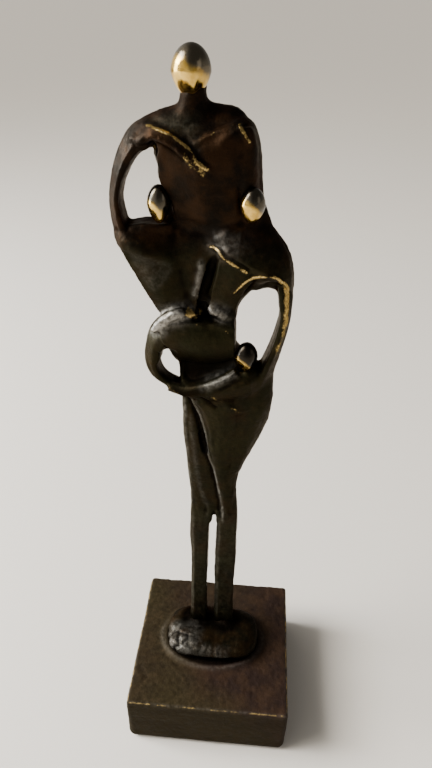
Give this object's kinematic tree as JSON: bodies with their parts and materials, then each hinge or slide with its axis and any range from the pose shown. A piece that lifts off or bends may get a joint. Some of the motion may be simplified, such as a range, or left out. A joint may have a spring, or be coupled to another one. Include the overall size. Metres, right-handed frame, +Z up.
{
  "type": "souvenir figurine",
  "caption": "Abstract standing family group in dark patinated bronze with polished faceless heads, open arm loops and long legs, on a square block base.",
  "frame": {"origin": "centre of the felt underside, on the surface the piece stands on", "axes": "+Z up, -Y towards the front of the figure, +X to the viewer's right"},
  "size_m": [0.0529, 0.05, 0.2003],
  "materials": {
    "dark_bronze": "dark brown-black patina, satin, rubbed to brass on the ridges",
    "polished_brass": "mirror polished, darkened at the crown",
    "base_bronze": "dark purple-brown patina, fine pitted satin, rubbed along the edges",
    "zinc_steel": "zinc plated",
    "black_felt": "short felt nap"
  },
  "bodies": {
    "root": {"parent_neck": "dark_bronze", "shoulder_yoke": "dark_bronze", "parent_trunk": "dark_bronze", "parent_left_arm": "dark_bronze", "parent_right_arm": "dark_bronze", "left_child_body": "dark_bronze", "right_child_shoulders": "dark_bronze", "right_child_robe": "dark_bronze", "right_child_arm": "dark_bronze", "centre_fold": "dark_bronze", "left_braze_fillet": "dark_bronze", "right_braze_fillet": "dark_bronze", "lower_chest": "dark_bronze", "lower_left_arm": "dark_bronze", "robe_under_panel": "dark_bronze", "robe_front_panel": "dark_bronze", "left_leg": "dark_bronze", "right_leg": "dark_bronze", "foot_mound": "dark_bronze", "parent_head": "polished_brass", "left_child_head": "polished_brass", "right_child_head": "polished_brass", "lower_child_head": "polished_brass", "base_block": "base_bronze", "mounting_stud": "zinc_steel", "stud_washer": "zinc_steel", "stud_nut": "zinc_steel", "felt_pad": "black_felt"}
  },
  "joints": []
}
